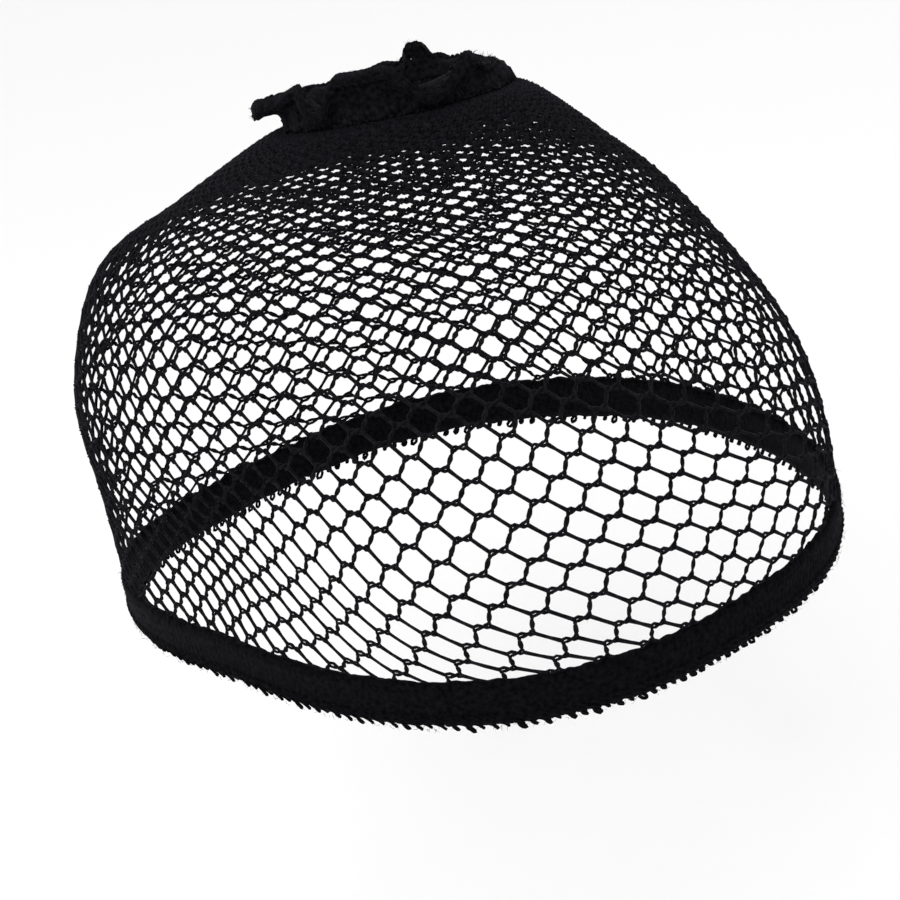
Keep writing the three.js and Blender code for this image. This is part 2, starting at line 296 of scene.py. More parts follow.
# The yarns' look: darkest and lightest grey, roughness and sheen of each slot.
YARN_LOOKS = {
    "net_yarn": (0.0014, 0.0085, 0.7, 0.018),
    "band_yarn": (0.0004, 0.004, 0.9, 0.012),
    "tie_elastic": (0.0008, 0.004, 0.7, 0.01),
    "frill_yarn": (0.0008, 0.0062, 0.9, 0.016),
}
YARN_BLUE = 1.25
YARN_SPECULAR = 0.03
SHEEN_ROUGHNESS = 0.5
SHEEN_TINT = (0.75, 0.78, 1, 1)
# The mottling: its noise, where its tones begin and end, and its bump in metres.
MOTTLE_SCALE = 900
MOTTLE_DETAIL = 4
MOTTLE_RANGE = (0.35, 0.7)
MOTTLE_BUMP = 0.0002
BUMP_STRENGTH = 0.7

# The elastic loop's length as it is cut, in metres.
LOOP_LENGTH = 0.54

# The camera that the photograph was taken with, in degrees, metres and pixels of its 900 px frame.
PHOTO_SIDE = 900
CAMERA_AZIMUTH = -36.13
CAMERA_ELEVATION = 24.62
CAMERA_ROLL = -11.5
CAMERA_DISTANCE = 0.7059
CAMERA_SCALE = 4153
AIM_RIGHT = -0.00753
AIM_UP = 0.02335
SENSOR = 36
NEAREST_SEEN = 0.01

# The stage: a pale floor, one large lamp and an even white sky.
FLOOR_DROP = 0.16
FLOOR_SIDE = 12
FLOOR_WHITE = 0.86
FLOOR_ROUGHNESS = 0.9
SKY_STRENGTH = 1.0
KEY_PLACE = (-0.9, -0.7, 1.2)
KEY_AIM = (0, 0, 0.05)
KEY_SIZE = 0.9
KEY_POWER = 14

RANDOM_SEED = 7

SLOPE_BACK = math.tan(math.radians(LEAN_BACK))
SLOPE_ASIDE = math.tan(math.radians(LEAN_ASIDE))
GATHER_AXIS = np.array(Vector((SLOPE_ASIDE, SLOPE_BACK, 1)).normalized())
GATHER_CENTRE = np.array((GATHER_ASIDE, GATHER_BACK, CROWN_HEIGHT))


def unit(vectors):
    """The vectors at length 1."""
    return vectors / np.maximum(np.linalg.norm(vectors, axis=-1, keepdims=True), 1e-12)


def smooth_curve(places, values, at, period=None):
    """Reads a smooth curve through values at uneven places; each place may have a row of values."""
    places = np.asarray(places, float)
    values = np.asarray(values, float)
    if values.ndim == 1:
        values = np.repeat(values[:, None], np.size(at), axis=1)
    shape = np.shape(at)
    at = np.ravel(at).astype(float)
    values = values.reshape(len(places), -1)
    if period:
        at = (at - places[0]) % period + places[0]
        places = np.concatenate([places[-2:] - period, places, places[:3] + period])
        values = np.concatenate([values[-2:], values, values[:3]])
    k = np.clip(np.searchsorted(places, at, side="right") - 1, 0, len(places) - 2)
    slopes = np.gradient(values, places, axis=0)
    sample = np.arange(len(at))
    step = places[k + 1] - places[k]
    t = np.clip((at - places[k]) / step, 0, 1)
    low, high = values[k, sample], values[k + 1, sample]
    low_slope, high_slope = slopes[k, sample] * step, slopes[k + 1, sample] * step
    result = (
        low * (2 * t**3 - 3 * t**2 + 1)
        + low_slope * (t**3 - 2 * t**2 + t)
        + high * (3 * t**2 - 2 * t**3)
        + high_slope * (t**3 - t**2)
    )
    return result.reshape(shape)


def profile(column, level):
    """The crown's outline at a level, by the same even spline that the solids use."""
    values = np.array(CROWN_PROFILE[column])
    level = np.clip(level, 0, TOP_LEVEL)
    k = np.minimum(level.astype(int), TOP_LEVEL)
    w = level - k
    before = values[np.maximum(k - 1, 0)]
    low = values[k]
    high = values[np.minimum(k + 1, TOP_LEVEL)]
    after = values[np.minimum(k + 2, TOP_LEVEL)]
    low_slope = (high - before) / 2
    high_slope = (after - low) / 2
    cubic = 2 * low - 2 * high + low_slope + high_slope
    square = -3 * low + 3 * high - 2 * low_slope - high_slope
    return cubic * w**3 + square * w**2 + low_slope * w + low


def level_at_height(height):
    """The level at which the crown's side has a given height."""
    low, high = 0.0, TOP_LEVEL / 2
    for _ in range(LEVEL_HALVINGS):
        middle = (low + high) / 2
        if profile("rise", np.array(middle)) * CROWN_HEIGHT < height:
            low = middle
        else:
            high = middle
    return (low + high) / 2


def rim_dip(angle, level):
    """How far the rim's dip at the back lowers the crown: in full at the band, and less above it."""
    start = level_at_height(BAND_HEIGHT + CLEARANCE)
    t = np.clip((level - start) / (DIP_END * TOP_LEVEL - start), 0, 1)
    return RIM_DIP * np.maximum(0, -np.cos(angle)) ** DIP_POWER * (1 - t * t * (3 - 2 * t))


def crown_point(angle, level):
    """A point of the crown's outer face; above the top level it runs up the neck."""
    side, front = np.sin(angle), np.cos(angle)
    reach = (np.abs(side) ** OVAL_POWER + np.abs(front) ** OVAL_POWER) ** (-1 / OVAL_POWER)
    length = np.where(front > 0, FRONT_LENGTH, BACK_LENGTH)
    spread = profile("spread", level) - profile("backward", level) * front
    rise = profile("rise", level)
    lean = profile("lean", level)
    x = GATHER_RADIUS * side * (1 - spread) + HALF_WIDTH * reach * side * spread
    y = -GATHER_RADIUS * front * (1 - spread) - length * reach * front * spread
    z = rise * CROWN_HEIGHT - lean * (x * SLOPE_ASIDE + y * SLOPE_BACK) - rim_dip(angle, level)
    up_neck = np.maximum(level - TOP_LEVEL, 0)[..., None] * NECK_HEIGHT
    return np.stack([x + lean * GATHER_ASIDE, y + lean * GATHER_BACK, z], -1) + up_neck * GATHER_AXIS


def crown_normal(angle, level):
    """Which way the crown's outer face looks."""
    step = 1e-3
    around = crown_point(angle + step, level) - crown_point(angle - step, level)
    upward = crown_point(angle, level + step) - crown_point(angle, np.maximum(level - step, 0))
    return unit(np.cross(around, upward))


def knit_place(column, row):
    """Angle and level of a place in the knit, counted in stitch columns and rows."""
    turns = np.array(COLUMN_TURNS, float)
    winds = np.floor((column - turns[0, 0]) / KNIT_COLUMNS)
    local = column - winds * KNIT_COLUMNS
    places = np.append(turns[:, 0], turns[0, 0] + KNIT_COLUMNS)
    readings = []
    for values in turns[:, 1:].T:
        closed = np.append(values, values[0] + 360)
        padded_places = np.concatenate([[places[-2] - KNIT_COLUMNS], places, [places[1] + KNIT_COLUMNS]])
        padded_values = np.concatenate([[closed[-2] - 360], closed, [closed[1] + 360]])
        readings.append(smooth_curve(padded_places, padded_values, local) + 360 * winds)
    angle = smooth_curve(TURN_ROWS, np.array([np.ravel(r) for r in readings]), row)
    levels = np.array(ROW_LEVELS, float)
    by_place = [smooth_curve(levels[:, 0], levels[:, c], row) for _, c in LEVEL_PLACES]
    by_place = np.array([np.ravel(v) for v in by_place])
    level = smooth_curve([turn for turn, _ in LEVEL_PLACES], by_place, angle, period=360)
    return np.radians(angle), level


def new_object(name, vertices, quads, material):
    """A smooth mesh of quads that rides on the cap's one body."""
    mesh = bpy.data.meshes.new(name)
    mesh.vertices.add(len(vertices))
    mesh.vertices.foreach_set("co", np.ascontiguousarray(vertices, np.float32).ravel())
    mesh.loops.add(quads.size)
    mesh.loops.foreach_set("vertex_index", np.ascontiguousarray(quads, np.int32).ravel())
    mesh.polygons.add(len(quads))
    mesh.polygons.foreach_set("loop_start", np.arange(len(quads), dtype=np.int32) * quads.shape[1])
    mesh.update(calc_edges=True)
    mesh.polygons.foreach_set("use_smooth", [True] * len(mesh.polygons))
    mesh.validate()
    obj = bpy.data.objects.new(name, mesh)
    bpy.context.scene.collection.objects.link(obj)
    obj.data.materials.append(material)
    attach(obj, "root")
    return obj


class MeshParts:
    """Gathers arrays of vertices and quads into one mesh."""

    def __init__(self):
        self.vertices = []
        self.quads = []
        self.count = 0

    def add(self, vertices, quads):
        self.vertices.append(vertices.reshape(-1, 3))
        self.quads.append(quads.reshape(-1, 4) + self.count)
        self.count += vertices.reshape(-1, 3).shape[0]

    def make(self, name, material):
        return new_object(name, np.concatenate(self.vertices), np.concatenate(self.quads), material)


def tubes(lines, side, out, radius, sides):
    """Closed tubes round many lines at once. lines is (tubes, rings, 3), like side and out, its axes."""
    count, rings, _ = lines.shape
    turn = np.arange(sides) * 2 * np.pi / sides
    radius = np.broadcast_to(radius, (count, rings))[:, :, None, None]
    across = np.cos(turn)[:, None] * side[:, :, None, :] + np.sin(turn)[:, None] * out[:, :, None, :]
    vertices = lines[:, :, None, :] + radius * across
    ring = np.arange(sides)
    after = (ring + 1) % sides
    quad = np.stack([ring, after, after + sides, ring + sides], -1)
    quads = quad[None] + (np.arange(rings - 1) * sides)[:, None, None]
    if sides == 4:
        last = (rings - 1) * sides
        caps = np.array([[3, 2, 1, 0], [last, last + 1, last + 2, last + 3]])
        quads = np.concatenate([quads.reshape(-1, 4), caps])
    quads = quads.reshape(-1, 4)[None] + (np.arange(count) * rings * sides)[:, None, None]
    return vertices, quads


def frames(lines, normals):
    """The section axes of tubes that lie on a face: across the line in the face, and out of the face."""
    along = unit(np.gradient(lines, axis=1))
    side = unit(np.cross(along, normals))
    return side, np.cross(side, along)


def rib_path(strand, row_high, row_low, rings):
    """A rib's path in the knit from a high row down to a low one.

    It is given as columns and rows, the phase of the twist, and how far each place belongs to a knot.
    """
    periods = int((row_high - row_low) * 2)
    corners = []
    for i in range(-1, periods + 2):
        row = row_high - i / 2
        column = strand + row
        corners.append((column + CORNER_ASIDE, row))
        corners.append((column + 1 / 2 - CORNER_ASIDE, row - 1 / 2))
    corners = np.array(corners)
    points = []
    phases = []
    knots = []
    phase = 0.0
    for i in range(2, 2 * periods + 2):
        upright = i % 2 == 0
        count, turns = rings[0] if upright else rings[1]
        before, start, end, after = corners[i - 1 : i + 3]
        for t in np.arange(count) / count:
            rounded = (
                start
                + t * (end - before) / 2
                + t**2 * (2 * before - 5 * start + 4 * end - after) / 2
                + t**3 * (3 * start - before - 3 * end + after) / 2
            )
            straight = start + t * (end - start)
            points.append(CORNER_ROUNDING * rounded + (1 - CORNER_ROUNDING) * straight)
            phases.append(phase + turns * t)
            knots.append(max(0, 1 - KNOT_END * min(t, 1 - t)) if upright else 1)
        phase += turns
    points.append(corners[2 * periods + 2])
    phases.append(phase)
    knots.append(1)
    return np.array(points), np.array(phases) * math.pi, np.array(knots)


def slackness(column, row):
    """How much thicker the yarn is where the columns lie closer, as where the net is less stretched."""
    left = crown_point(*knit_place(column - 0.5, row))
    right = crown_point(*knit_place(column + 0.5, row))
    spacing = np.linalg.norm(right - left, axis=-1)
    return np.clip((SLACK_COLUMN / spacing) ** SLACK_SWELL, *SLACK_LIMITS)


def rib_plies(parts, strands, rows, rings, random):
    """The two crossing plies of some ribs, between two rows."""
    paths = [rib_path(strand, *rows, rings) for strand in strands]
    knit = np.array([path for path, _, _ in paths])
    phase = np.array([phase for _, phase, _ in paths])
    knot = np.array([knot for _, _, knot in paths])
    column, row = knit[..., 0], knit[..., 1]
    angle, level = knit_place(column, row)
    normals = crown_normal(angle, level)
    wander = random.normal(0, YARN_WANDER, column.shape + (1,))
    lines = crown_point(angle, level) - normals * (NET_DEPTH + wander)
    side, out = frames(lines, normals)
    slack = slackness(column, row)
    knot = knot * np.clip(1 - (row - KNOTS_SHRINK_FROM) / KNOTS_SHRINK_OVER, SMALLEST_KNOT, 1)
    for ply in (0, math.pi):
        swing = PLY_SWING * slack * (1 + KNOT_SWING * knot) * np.cos(phase + ply)
        lift = PLY_LIFT * (1 + knot) * np.sin(phase + ply)
        ply_lines = lines + swing[..., None] * side + lift[..., None] * out
        thick = PLY_RADIUS * slack * (1 + KNOT_SWELL * knot + random.normal(0, PLY_UNEVEN, phase.shape))
        parts.add(*tubes(ply_lines, side, out, thick, 4))


def rib_floats(parts, strands, random):
    """The floats that tie each of some ribs to the next: one at each half row."""
    share = np.array(FLOAT_PLACES)
    places = []
    for strand in strands:
        rows = np.arange(FIRST_ROW, LAST_ROW, 0.5)
        columns = strand + rows
        start = np.stack([columns + CORNER_ASIDE, rows], -1)
        end = np.stack([columns + 1 / 2 - CORNER_ASIDE, rows + 1 / 2], -1)
        places.append(start[:, None] + (end - start)[:, None] * share[:, None])
    column, row = np.moveaxis(np.concatenate(places), -1, 0)
    angle, level = knit_place(column, row)
    normals = crown_normal(angle, level)
    lines = crown_point(angle, level) - normals * NET_DEPTH
    side, out = frames(lines, normals)
    flare = (1 + FLOAT_FLARE * np.abs(2 * share - 1) ** 3) * slackness(column, row)
    thick = FLOAT_RADIUS * flare * (1 + random.normal(0, FLOAT_UNEVEN, column.shape))
    parts.add(*tubes(lines, side, out, thick, 4))


def net_gore(number, material, random):
    """A fifth of the net, ribs and floats, in one mesh."""
    parts = MeshParts()
    ribs = KNIT_COLUMNS // GORES
    strands = range(number * ribs, (number + 1) * ribs)
    rib_plies(parts, strands, (DENSE_ROW, FIRST_ROW), OPEN_RIB, random)
    rib_plies(parts, strands, (LAST_ROW, DENSE_ROW), DENSE_RIB, random)
    rib_floats(parts, strands, random)
    return parts.make(f"net_gore_{number + 1}", material)


def cloth_ring(parts, outer, inner, holes=None):
    """A closed band of cloth: outer and inner rings from low to high, with walls round left out cells."""
    rings, stations, _ = outer.shape
    number = np.arange(rings * stations).reshape(rings, stations)
    after = np.roll(number, -1, axis=1)
    inside = rings * stations
    cells = np.stack([number[:-1], after[:-1], after[1:], number[1:]], -1)
    kept = np.ones(cells.shape[:2], bool) if holes is None else ~holes
    quads = [cells[kept], cells[kept][:, ::-1] + inside]
    low, low_after = number[0], after[0]
    quads.append(np.stack([low_after, low, low + inside, low_after + inside], -1))
    high, high_after = number[-1], after[-1]
    quads.append(np.stack([high, high_after, high_after + inside, high + inside], -1))
    for side in range(4):
        start, end = cells[..., side], cells[..., (side + 1) % 4]
        beyond = (
            np.vstack([np.ones((1, stations), bool), kept[:-1]]),
            np.roll(kept, -1, axis=1),
            np.vstack([kept[1:], np.ones((1, stations), bool)]),
            np.roll(kept, 1, axis=1),
        )[side]
        wall = ~kept & beyond
        quads.append(np.stack([start[wall], end[wall], end[wall] + inside, start[wall] + inside], -1))
    parts.add(np.concatenate([outer.reshape(-1, 3), inner.reshape(-1, 3)]), np.concatenate(quads))


def soft_noise(around, across, size, random, waves=24):
    """Smooth random relief, about -1 to 1, over an angle and a distance, with lumps of a size in metres."""
    result = np.zeros(np.broadcast(around, across).shape)
    for _ in range(waves):
        heading = random.uniform(0, math.pi)
        turns = round(LOOP_LENGTH / size * math.cos(heading))
        ramp = 2 * math.pi * math.sin(heading) / size
        result += np.sin(turns * around + ramp * across + random.uniform(0, 2 * math.pi))
    return result / math.sqrt(waves)


def band_place(angle, height, outward):
    """A point of the band: its height, and how far out it lies from the middle of the thickness."""
    heights = np.linspace(0, BAND_HEIGHT, BAND_READINGS)
    levels = [level_at_height(h) for h in heights]
    level = np.interp(height, heights, levels)
    normal = crown_normal(angle, level)
    point = crown_point(angle, level) + normal * (BAND_PROUD - BAND_THICKNESS / 2)
    point[..., 2] = height - rim_dip(angle, level)
    flat = normal * (1, 1, 0)
    return point + unit(flat) * outward[..., None]


def closed_yarn(parts, lines, normals, radius, sides=4):
    """Yarns that end where they start, so their last ring is turned as their first."""
    side, out = frames(lines, normals)
    side[:, -1], out[:, -1] = side[:, 0], out[:, 0]
    parts.add(*tubes(lines, side, out, radius, sides))


def looped_yarn(parts, place, count, spread, drop, radius, random):
    """A row of small yarn loops round a ring. place(angle, down) gives a point and a normal."""
    turn = np.linspace(0, 2 * math.pi * count, count * LOOP_RINGS + 1)
    long_beat, short_beat = LOOP_BEATS
    size = 1 + LOOP_VARIES * np.sin(turn / long_beat + LOOP_START) * np.sin(turn / short_beat)
    size = size + random.normal(0, LOOP_UNEVEN, turn.shape)
    size[-1] = size[0]
    angle = turn / count + spread * np.sin(turn) * size
    point, normal = place(angle, drop * size * (1 - np.cos(turn)) / 2)
    point = point + normal * (radius * LOOP_STAND * np.sin(turn + LOOP_LAG))[:, None]
    thick = radius * (1 - LOOP_SWELL + LOOP_SWELL * size)
    closed_yarn(parts, point[None], normal[None], thick[None])


def rim_band(material, random):
    """The band: a thick knitted strap with a fine relief of stitches."""
    parts = MeshParts()
    angle = np.arange(BAND_STATIONS) * 2 * math.pi / BAND_STATIONS
    share = np.linspace(0, 1, BAND_ROWS)
    section = np.array(BAND_SECTION)
    half = np.interp(share, section[:, 0], section[:, 1]) * BAND_THICKNESS / 2
    angle, height = np.meshgrid(angle, BAND_HEM_RISE + share * (BAND_HEIGHT - BAND_HEM_RISE))
    edge = np.interp(np.abs(2 * share - 1), (BAND_EDGE_FROM, 1), (0, 1))[:, None]
    height = height + BAND_WAVE * edge * soft_noise(angle, height, WAVE_LUMP, random)
    drift = STITCH_DRIFT * soft_noise(angle, height, STITCH_LUMP, random)
    stitch = np.cos(BAND_STITCHES * angle + drift)
    relief = BAND_RELIEF * (STITCH_SHARE * stitch + soft_noise(angle, height, RELIEF_LUMP, random))
    outer = band_place(angle, height, half[:, None] + relief)
    inner = band_place(angle, height, -half[:, None] + relief / 2)
    cloth_ring(parts, outer, inner)
    return parts.make("band_knit", material)


def picot_edge(base, outward):
    """Where a row of picots hangs on the band: a place for each angle and distance down."""
    def place(angle, down):
        point = band_place(angle + PICOT_SLANT * down, base - down, np.full(angle.shape, outward))
        return point, crown_normal(angle, np.full(angle.shape, PICOT_LEVEL))

    return place


def band_picots(material, random):
    """The rows of small loops at the band's lower edge."""
    parts = MeshParts()
    for base, drop, outward in PICOT_ROWS:
        edge = picot_edge(base, outward)
        looped_yarn(parts, edge, PICOT_COUNT, PICOT_SPREAD, drop, PICOT_YARN, random)
    return parts.make("band_picots", material)


def gather_point(angle, outward, upward):
    """A point near the gather's circle, moved out from its middle and up its axis."""
    point = crown_point(angle, np.full(np.shape(angle), float(TOP_LEVEL)))
    away = unit(point - GATHER_CENTRE)
    return point + away * np.asarray(outward)[..., None] + GATHER_AXIS * np.asarray(upward)[..., None]


def gather_tie(material):
    """The tie: twisted plies of elastic round the neck."""
    parts = MeshParts()
    radius = TIE_THICKNESS / 2
    angle = np.linspace(0, 2 * math.pi, TIE_STATIONS + 1)
    away = unit(gather_point(angle, 0 * angle, 0 * angle) - GATHER_CENTRE)
    for ply in range(TIE_PLIES):
        twist = angle * TIE_TWISTS + ply * 2 * math.pi / TIE_PLIES
        out = radius * (1 + TIE_OFFSET * np.cos(twist)) + CLEARANCE
        up = NECK_HEIGHT - radius * (1 - TIE_OFFSET * np.sin(twist))
        closed_yarn(parts, gather_point(angle, out, up)[None], away[None], TIE_PLY * radius, 6)
    return parts.make("tie_plies", material)


def fold_at(column, turn):
    """One column of the fold table at some turns, eased from row to row as the solids have it."""
    folds = np.array(FRILL_FOLDS)
    readings = folds[:, FOLD_COLUMNS.index(column)]
    starts = np.append(folds[:, 0], 1 + folds[0, 0])
    values = np.append(readings, readings[0])
    k = np.clip(np.searchsorted(starts, turn, side="right") - 1, 0, len(folds) - 1)
    eased = (1 - np.cos(math.pi * (turn - starts[k]) / (starts[k + 1] - starts[k]))) / 2
    return values[k] + (values[k + 1] - values[k]) * eased


def read_across(steps, shares):
    """Reads smooth curves through rows of points, one row for each of the frill's steps, at some shares."""
    steps = np.array(steps)
    places = np.linspace(0, 1, len(steps))
    flat = steps.reshape(len(steps), -1)
    rows = [smooth_curve(places, flat, np.repeat(share, flat.shape[1])) for share in shares]
    return np.array(rows).reshape(len(shares), *steps.shape[1:])


def frill_place(turn, shares):
    """The frill's middle and its outward direction at some turns and, in rows, some shares of its width."""
    angle = turn * 2 * math.pi
    lean = np.radians(fold_at("lean", turn))
    length = FRILL_WIDTH * fold_at("width", turn)
    sway = FRILL_WIDTH * fold_at("sway", turn)
    away = unit(gather_point(angle, 0 * angle, 0 * angle) - GATHER_CENTRE)
    along = np.cross(GATHER_AXIS, away)
    out = np.full(angle.shape, -NET_WALL / 2)
    up = np.full(angle.shape, NECK_HEIGHT + CLEARANCE)
    middles = []
    outers = []
    for step in range(FRILL_STEPS + 1):
        part = step / FRILL_STEPS
        bend = lean * min(1, part / FRILL_BEND)
        if step > 0:
            out = out + np.sin(bend) * length / FRILL_STEPS
            up = up + np.cos(bend) * length / FRILL_STEPS
        middles.append(gather_point(angle, out, up) + along * (sway * part * part)[:, None])
        outers.append(away * np.cos(bend)[:, None] - GATHER_AXIS * np.sin(bend)[:, None])
    return read_across(middles, shares), unit(read_across(outers, shares))


def eyelets(random):
    """Which cells of the frill's grid are left out, as small staggered eyelets in a few places."""
    column, row = np.meshgrid(np.arange(FRILL_STATIONS), np.arange(FRILL_ROWS - 1))
    tier = row // EYELET_ROWS
    tiers = (FRILL_ROWS - 1) // EYELET_ROWS
    beside = column + EYELET_COLUMNS // 2 * tier
    holes = (beside % EYELET_COLUMNS < EYELET_WIDTH) & (row % EYELET_ROWS >= EYELET_ROWS - EYELET_HEIGHT)
    holes &= (tier > 0) & (tier < tiers - 1)
    is_open = random.random((tiers + 1, FRILL_STATIONS // EYELET_COLUMNS)) < EYELETS_OPEN
    holes &= is_open[tier, beside // EYELET_COLUMNS % is_open.shape[1]]
    turn = column / FRILL_STATIONS
    shown = [np.abs((turn - at + 0.5) % 1 - 0.5) < EYELETS_REACH for at in EYELET_TURNS]
    return holes & np.any(shown, axis=0)


def top_frill(material, random):
    """The frill: the knitted strip of the solids, with a soft relief and eyelets."""
    parts = MeshParts()
    turn = np.arange(FRILL_STATIONS) / FRILL_STATIONS
    shares = np.linspace(0, 1, FRILL_ROWS)
    middle, outward = frill_place(turn, shares)
    angle, share = np.meshgrid(turn * 2 * math.pi, shares)
    places = (0, FRILL_BEND, 1 - 1 / FRILL_STEPS, 1)
    half = np.interp(share, places, (NET_WALL, FRILL_THICKNESS, FRILL_THICKNESS, FRILL_HEM)) / 2
    stitch = np.cos(FRILL_RIBS * angle) + soft_noise(angle, share * FRILL_WIDTH, FRILL_LUMP, random)
    relief = FRILL_RELIEF * share * stitch
    drift = FRILL_DRIFT * share * soft_noise(angle, share * FRILL_WIDTH, DRIFT_LUMP, random)
    foot = (1 - share) ** 2 * (1 + FOOT_WAVE * soft_noise(angle, 0 * angle, FOOT_LUMP, random))
    outer = middle + outward * (drift + half + relief)[..., None]
    outer = outer + foot[..., None] * (FOOT_OUT * outward[0] - FOOT_DROP * GATHER_AXIS)
    inner = middle + outward * (drift - half - relief / 2)[..., None]
    cloth_ring(parts, outer, inner, eyelets(random))
    return parts.make("frill_knit", material)


def hem_edge(reach, outside):
    """Where a row of the frill's hem loops lies: a place for each angle and distance down."""
    def place(angle, down):
        middle, outward = frill_place(angle / (2 * math.pi) % 1, (reach - HEM_BACK, reach))
        edge = unit(middle[1] - middle[0])
        return middle[1] - edge * (HEM_SINK + down)[:, None] + outward[1] * outside, outward[1]

    return place


def frill_hem(material, random):
    """The rows of loops along the frill's hem."""
    parts = MeshParts()
    for reach, outside in HEM_ROWS:
        looped_yarn(parts, hem_edge(reach, outside), HEM_LOOPS, HEM_SPREAD, HEM_DROP, HEM_YARN, random)
    return parts.make("frill_hem", material)


def gather_pleats(material, random):
    """The net's own pleats where the tie draws it together: they run over the tie to the frill's root."""
    parts = MeshParts()
    angle = np.arange(PLEATS) * 2 * math.pi / PLEATS
    wander = PLEAT_TURN * 2 * math.pi / PLEATS
    lines = []
    for level in PLEAT_LEVELS:
        turned = angle + random.normal(0, wander, PLEATS)
        height = np.full(PLEATS, level)
        lines.append(crown_point(turned, height) + crown_normal(turned, height) * PLEAT_RADIUS / 2)
    for out, up in PLEAT_PATH:
        turned = angle + random.normal(0, wander, PLEATS)
        outward = out + random.normal(0, PLEAT_WANDER, PLEATS)
        upward = up + random.normal(0, PLEAT_WANDER, PLEATS)
        lines.append(gather_point(turned, outward, upward))
    lines = np.stack(lines, 1)
    side, out = frames(lines, unit(lines - GATHER_CENTRE + GATHER_AXIS * GATHER_RADIUS / 2))
    thick = PLEAT_RADIUS * (1 + random.normal(0, PLEAT_UNEVEN, lines.shape[:2]))
    thick[:, 0] /= 2
    parts.add(*tubes(lines, side, out, thick, 4))
    return parts.make("gather_pleats", material)


def fuzz(name, roots, normals, length, material, random):
    """Short loose fibres that stand off a yarn's face, curled at random."""
    parts = MeshParts()
    count = len(roots)
    curl = unit(np.cross(normals, random.normal(0, 1, (count, 3))))
    reach = length * random.uniform(*FIBRE_REACH, (count, 1))
    lean = random.uniform(*FIBRE_CURL, (count, 1))
    share = np.linspace(0, 1, len(FIBRE_TAPER))[None, :, None]
    stand = share * (1 - FIBRE_BOW * share)
    lines = roots[:, None] + reach[:, None] * (normals[:, None] * stand + (lean * curl)[:, None] * share**2)
    side, out = frames(lines, np.repeat(curl[:, None], len(FIBRE_TAPER), axis=1))
    parts.add(*tubes(lines, side, out, FIBRE_RADIUS * np.array(FIBRE_TAPER), 4))
    return parts.make(name, material)


def band_fuzz(material, random):
    """Fibres on the band, most of them near its two edges."""
    angle = random.uniform(0, 2 * math.pi, BAND_FIBRES)
    share = random.beta(*BAND_CROWDING, BAND_FIBRES)
    roots = band_place(angle, BAND_HEIGHT * share, np.full(BAND_FIBRES, BAND_THICKNESS * BAND_ROOT))
    tilt = (2 * share - 1)[:, None] * (0, 0, BAND_TILT)
    normals = unit(crown_normal(angle, np.full(BAND_FIBRES, BAND_FIBRE_LEVEL)) + tilt)
    return fuzz("band_fuzz", roots, normals, BAND_FIBRE_LENGTH, material, random)


def frill_fuzz(material, random):
    """Fibres on both faces of the frill, most of them near its hem."""
    fibre = np.arange(FRILL_FIBRES)
    shares = FRILL_FIBRE_ROWS
    middle, outward = frill_place(np.sort(random.uniform(0, 1, FRILL_FIBRES)), shares)
    row = np.floor(len(shares) * random.beta(*FRILL_CROWDING, FRILL_FIBRES)).astype(int)
    row = np.minimum(row, len(shares) - 1)
    face = np.where(random.random(FRILL_FIBRES) < 0.5, 1, -1)[:, None]
    edge = unit(middle[-1] - middle[-2]) * (row[:, None] >= len(shares) - 2)
    normals = unit(outward[row, fibre] * face + edge)
    roots = middle[row, fibre] + outward[row, fibre] * face * FRILL_THICKNESS * FRILL_ROOT
    return fuzz("frill_fuzz", roots, normals, FRILL_FIBRE_LENGTH, material, random)


def net_fuzz(material, random):
    """Fibres on the net, at its knots."""
    column = random.integers(0, 2 * KNIT_COLUMNS, NET_FIBRES) / 2
    row = np.floor(random.uniform(*NET_FIBRE_ROWS, NET_FIBRES)) + column % 1
    knot = column + CORNER_ASIDE + random.uniform(0, 1 - 2 * CORNER_ASIDE, NET_FIBRES)
    angle, level = knit_place(knot, row)
    normals = crown_normal(angle, level)
    roots = crown_point(angle, level) - normals * NET_DEPTH
    return fuzz("net_fuzz", roots, normals, NET_FIBRE_LENGTH, material, random)


def yarn_material(name):
    """Matte near-black yarn: two tones mottled by a fine noise, a weak shine and a soft sheen."""
    dark, light, roughness, sheen = YARN_LOOKS[name]
    material = bpy.data.materials.new(name)
    material.use_nodes = True
    nodes = material.node_tree.nodes
    links = material.node_tree.links
    shader = nodes["Principled BSDF"]
    shader.inputs["Roughness"].default_value = roughness
    shader.inputs["Specular IOR Level"].default_value = YARN_SPECULAR
    shader.inputs["Sheen Weight"].default_value = sheen
    shader.inputs["Sheen Roughness"].default_value = SHEEN_ROUGHNESS
    shader.inputs["Sheen Tint"].default_value = SHEEN_TINT
    place = nodes.new("ShaderNodeTexCoord")
    noise = nodes.new("ShaderNodeTexNoise")
    noise.inputs["Scale"].default_value = MOTTLE_SCALE
    noise.inputs["Detail"].default_value = MOTTLE_DETAIL
    ramp = nodes.new("ShaderNodeValToRGB")
    for stop, position, grey in zip(ramp.color_ramp.elements, MOTTLE_RANGE, (dark, light)):
        stop.position = position
        stop.color = (grey, grey, grey * YARN_BLUE, 1)
    bump = nodes.new("ShaderNodeBump")
    bump.inputs["Strength"].default_value = BUMP_STRENGTH
    bump.inputs["Distance"].default_value = MOTTLE_BUMP
    links.new(place.outputs["Object"], noise.inputs["Vector"])
    links.new(noise.outputs["Fac"], ramp.inputs["Fac"])
    links.new(ramp.outputs["Color"], shader.inputs["Base Color"])
    links.new(noise.outputs["Fac"], bump.inputs["Height"])
    links.new(bump.outputs["Normal"], shader.inputs["Normal"])
    return material


def flat_material(name, color, roughness):
    material = bpy.data.materials.new(name)
    material.use_nodes = True
    shader = material.node_tree.nodes["Principled BSDF"]
    shader.inputs["Base Color"].default_value = (*color, 1)
    shader.inputs["Roughness"].default_value = roughness
    return material


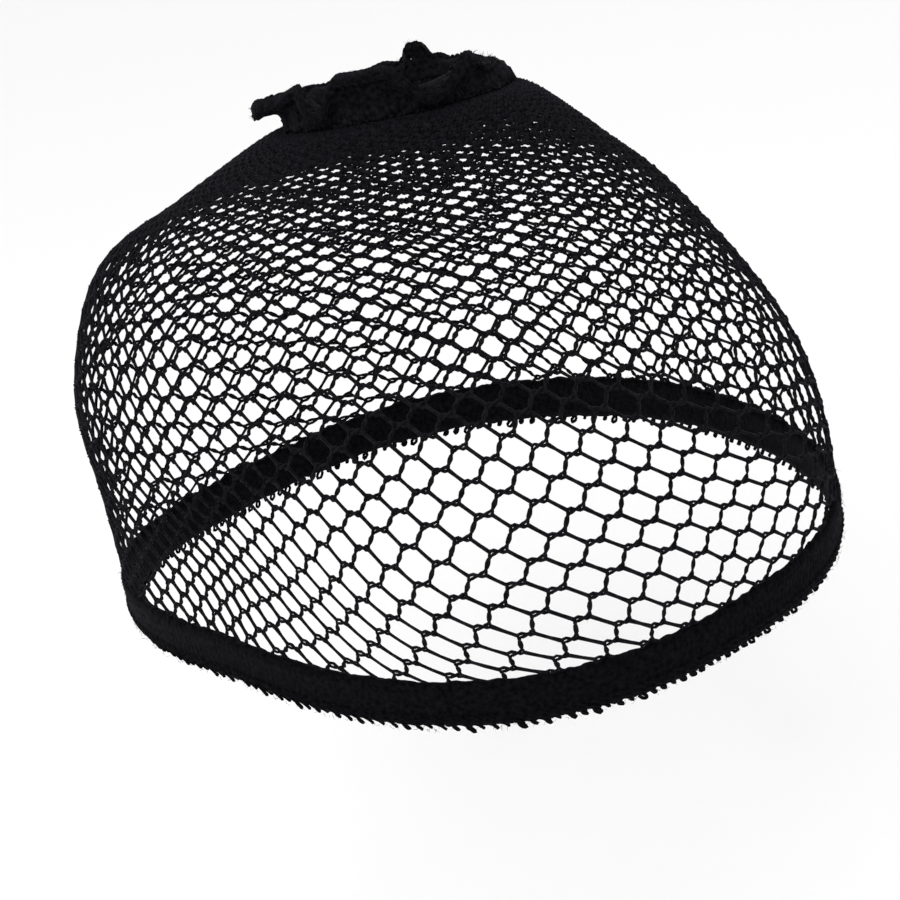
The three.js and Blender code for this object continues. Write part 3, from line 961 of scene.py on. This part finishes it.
def make_camera():
    """The camera that the photograph was taken with."""
    azimuth, elevation, roll = (math.radians(a) for a in (CAMERA_AZIMUTH, CAMERA_ELEVATION, CAMERA_ROLL))
    back = Vector((
        math.sin(azimuth) * math.cos(elevation),
        -math.cos(azimuth) * math.cos(elevation),
        math.sin(elevation),
    ))
    level_right = Vector((math.cos(azimuth), math.sin(azimuth), 0))
    level_up = back.cross(level_right)
    right = math.cos(roll) * level_right + math.sin(roll) * level_up
    up = math.cos(roll) * level_up - math.sin(roll) * level_right
    place = right * AIM_RIGHT + up * AIM_UP + back * CAMERA_DISTANCE
    camera = bpy.data.objects.new("photo_camera", bpy.data.cameras.new("photo_camera"))
    bpy.context.scene.collection.objects.link(camera)
    turn = Matrix((right, up, back)).transposed().to_4x4()
    camera.matrix_world = Matrix.Translation(place) @ turn
    camera.data.sensor_width = SENSOR
    camera.data.lens = SENSOR * CAMERA_SCALE * CAMERA_DISTANCE / PHOTO_SIDE
    camera.data.clip_start = NEAREST_SEEN
    bpy.context.scene.camera = camera


def area_light(name, place, aim, size, power):
    light = bpy.data.lights.new(name, "AREA")
    light.shape = "DISK"
    light.size = size
    light.energy = power
    obj = bpy.data.objects.new(name, light)
    bpy.context.scene.collection.objects.link(obj)
    obj.location = place
    obj.rotation_euler = (Vector(aim) - Vector(place)).to_track_quat("-Z", "Y").to_euler()


def stage():
    """The floor, the sky and the lamp."""
    bpy.ops.mesh.primitive_plane_add(size=FLOOR_SIDE, location=(0, 0, -FLOOR_DROP))
    floor = bpy.context.object
    floor.name = "floor"
    floor.data.materials.append(flat_material("pale_floor", (FLOOR_WHITE,) * 3, FLOOR_ROUGHNESS))
    world = bpy.data.worlds.new("studio")
    bpy.context.scene.world = world
    world.use_nodes = True
    world.node_tree.nodes["Background"].inputs["Color"].default_value = (1, 1, 1, 1)
    world.node_tree.nodes["Background"].inputs["Strength"].default_value = SKY_STRENGTH
    bpy.context.scene.view_settings.view_transform = "Standard"
    area_light("key", KEY_PLACE, KEY_AIM, KEY_SIZE, KEY_POWER)


def build_cap():
    """Makes every piece and puts it in its solid's place."""
    random = np.random.default_rng(RANDOM_SEED)
    yarns = {slot: yarn_material(slot) for slot in YARN_LOOKS}
    gores = [net_gore(number, yarns["net_yarn"], random) for number in range(GORES)]
    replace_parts(gores[0], "net_crown")
    pleats = gather_pleats(yarns["net_yarn"], random)
    band = rim_band(yarns["band_yarn"], random)
    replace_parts(band, "rim_band")
    picots = band_picots(yarns["band_yarn"], random)
    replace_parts(gather_tie(yarns["tie_elastic"]), "gather_tie")
    frill = top_frill(yarns["frill_yarn"], random)
    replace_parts(frill, "top_ruffle")
    hem = frill_hem(yarns["frill_yarn"], random)
    band_loose = band_fuzz(yarns["band_yarn"], random)
    frill_loose = frill_fuzz(yarns["frill_yarn"], random)
    net_loose = net_fuzz(yarns["net_yarn"], random)


make_camera()
build_cap()
stage()
